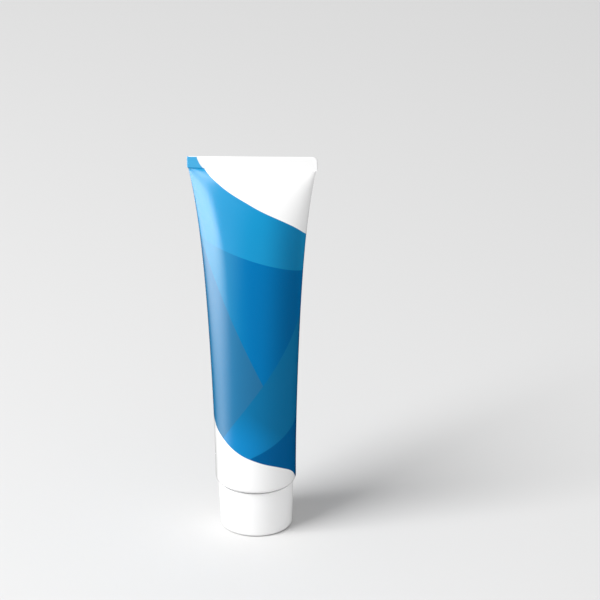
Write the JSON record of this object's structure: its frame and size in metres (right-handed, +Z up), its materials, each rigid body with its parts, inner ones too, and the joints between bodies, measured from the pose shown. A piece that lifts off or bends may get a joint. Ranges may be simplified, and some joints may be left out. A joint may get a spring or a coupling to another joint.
{
  "type": "toothpaste tube",
  "caption": "Laminate toothpaste tube standing on its wide screw cap, round at the shoulder and pressed flat at the tail. The cap unscrews from a threaded neck.",
  "frame": {"origin": "centre of the cap's foot, on the surface that the tube stands on", "axes": "+Z up the tube to its tail, +X along the pressed tail, and the printed front faces -Y"},
  "size_m": [0.0608, 0.038, 0.19],
  "materials": {
    "cap": "smooth moulded white plastic with a soft gloss",
    "foil": "bright foil with a fine emboss",
    "head": "plain moulded white plastic, fine matt",
    "sleeve": "satin laminate film printed in white and tones of blue",
    "paste": "wet pale paste"
  },
  "bodies": {
    "cap": {"screw_cap": "cap"},
    "seal": {"nozzle_seal": "foil"},
    "tube": {"tube_head": "head", "tube_sleeve": "sleeve", "toothpaste": "paste"}
  },
  "joints": [
    {"name": "unscrew_lift", "type": "slide", "parent": "cap", "child": "seal", "axis": [0, 0, 1], "range_m": [0, 0.009]},
    {"name": "unscrew_turn", "type": "hinge", "parent": "seal", "child": "tube", "pos_m": [0, 0, 0.008], "axis": [0, 0, 1], "range_deg": [0, 1080]}
  ],
  "couplings": [
    {"joint": "unscrew_lift", "follows": "unscrew_turn", "m_per_rad": 0.0004774}
  ]
}
